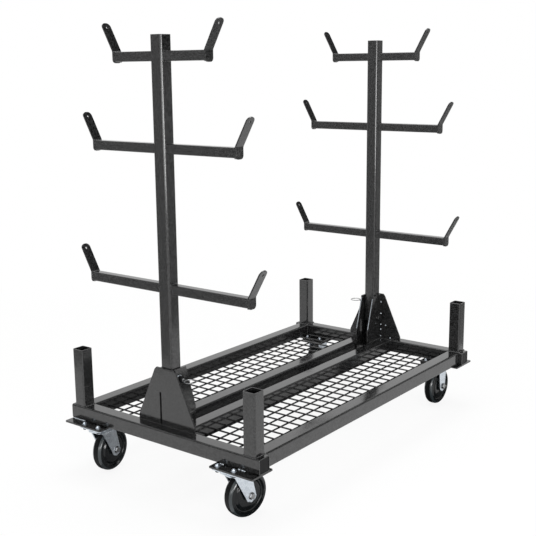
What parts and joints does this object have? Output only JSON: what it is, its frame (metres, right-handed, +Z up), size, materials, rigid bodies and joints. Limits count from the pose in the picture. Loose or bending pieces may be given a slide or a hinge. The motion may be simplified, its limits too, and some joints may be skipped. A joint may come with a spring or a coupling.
{
  "type": "bar and pipe rack cart",
  "caption": "Low wheeled frame with mesh deck trays, open corner stakes and folding centre masts that carry level arms with leaning tips for bars, pipes or sheet goods.",
  "frame": {"origin": "on the floor at the middle of the cart", "axes": "+Z up, +X along the cart from the swivel casters (front) to the rigid casters (rear), +Y to the left side"},
  "size_m": [1.454, 0.833, 1.5223],
  "materials": {
    "charcoal_paint": "satin charcoal enamel",
    "zinc": "bright zinc plate",
    "wheel_black": "glossy black",
    "plunger_black": "satin black"
  },
  "bodies": {
    "base": {"front_end_rail": "charcoal_paint", "rear_end_rail": "charcoal_paint", "left_side_rail": "charcoal_paint", "left_center_rail": "charcoal_paint", "left_deck_mesh": "charcoal_paint", "right_side_rail": "charcoal_paint", "right_center_rail": "charcoal_paint", "right_deck_mesh": "charcoal_paint", "front_left_stake": "charcoal_paint", "front_left_gusset": "charcoal_paint", "front_left_caster_pad": "charcoal_paint", "front_right_stake": "charcoal_paint", "front_right_gusset": "charcoal_paint", "front_right_caster_pad": "charcoal_paint", "front_mast_plate": "charcoal_paint", "front_pivot_bolt": "charcoal_paint", "front_plunger_barrel": "plunger_black", "rear_left_stake": "charcoal_paint", "rear_left_gusset": "charcoal_paint", "rear_left_caster_pad": "charcoal_paint", "rear_right_stake": "charcoal_paint", "rear_right_gusset": "charcoal_paint", "rear_right_caster_pad": "charcoal_paint", "rear_mast_plate": "charcoal_paint", "rear_pivot_bolt": "charcoal_paint", "rear_plunger_barrel": "plunger_black", "front_left_caster_plate": "zinc", "rear_left_rigid_fork": "zinc", "front_right_caster_plate": "zinc", "rear_right_rigid_fork": "zinc"},
    "front_folding_mast": {"front_mast": "charcoal_paint", "front_top_arm": "charcoal_paint", "front_top_left_tip": "charcoal_paint", "front_top_right_tip": "charcoal_paint", "front_mid_arm": "charcoal_paint", "front_mid_left_tip": "charcoal_paint", "front_mid_right_tip": "charcoal_paint", "front_low_arm": "charcoal_paint", "front_low_left_tip": "charcoal_paint", "front_low_right_tip": "charcoal_paint"},
    "front_pull_pin": {"front_lock_pin": "zinc"},
    "rear_folding_mast": {"rear_mast": "charcoal_paint", "rear_top_arm": "charcoal_paint", "rear_top_left_tip": "charcoal_paint", "rear_top_right_tip": "charcoal_paint", "rear_mid_arm": "charcoal_paint", "rear_mid_left_tip": "charcoal_paint", "rear_mid_right_tip": "charcoal_paint", "rear_low_arm": "charcoal_paint", "rear_low_left_tip": "charcoal_paint", "rear_low_right_tip": "charcoal_paint"},
    "rear_pull_pin": {"rear_lock_pin": "zinc"},
    "front_left_swivel": {"front_left_swivel_fork": "zinc"},
    "front_right_swivel": {"front_right_swivel_fork": "zinc"},
    "front_left_roller": {"front_left_wheel": "wheel_black"},
    "front_right_roller": {"front_right_wheel": "wheel_black"},
    "rear_left_roller": {"rear_left_wheel": "wheel_black"},
    "rear_right_roller": {"rear_right_wheel": "wheel_black"}
  },
  "joints": [
    {"name": "front_fold", "type": "hinge", "parent": "base", "child": "front_folding_mast", "pos_m": [-0.6227, 0, 0.2798], "axis": [0, 1, 0], "range_deg": [0, 90]},
    {"name": "front_pin_slide", "type": "slide", "parent": "base", "child": "front_pull_pin", "axis": [0, -1, 0], "range_m": [-0.007, 0.006]},
    {"name": "rear_fold", "type": "hinge", "parent": "base", "child": "rear_folding_mast", "pos_m": [0.6227, 0, 0.3294], "axis": [0, -1, 0], "range_deg": [0, 90]},
    {"name": "rear_pin_slide", "type": "slide", "parent": "base", "child": "rear_pull_pin", "axis": [0, 1, 0], "range_m": [-0.007, 0.006]},
    {"name": "front_left_swivel_turn", "type": "hinge", "parent": "base", "child": "front_left_swivel", "pos_m": [-0.667, 0.3, 0.16], "axis": [0, 0, 1], "continuous": true},
    {"name": "front_right_swivel_turn", "type": "hinge", "parent": "base", "child": "front_right_swivel", "pos_m": [-0.667, -0.3, 0.16], "axis": [0, 0, 1], "continuous": true},
    {"name": "front_left_wheel_roll", "type": "hinge", "parent": "front_left_swivel", "child": "front_left_roller", "pos_m": [-0.62722, 0.30418, 0.076], "axis": [-0.1045, 0.9945, 0], "continuous": true},
    {"name": "front_right_wheel_roll", "type": "hinge", "parent": "front_right_swivel", "child": "front_right_roller", "pos_m": [-0.62774, -0.30763, 0.076], "axis": [0.1908, 0.9816, 0], "continuous": true},
    {"name": "rear_left_wheel_roll", "type": "hinge", "parent": "base", "child": "rear_left_roller", "pos_m": [0.651, 0.3, 0.076], "axis": [0, 1, 0], "continuous": true},
    {"name": "rear_right_wheel_roll", "type": "hinge", "parent": "base", "child": "rear_right_roller", "pos_m": [0.651, -0.3, 0.076], "axis": [0, 1, 0], "continuous": true}
  ]
}
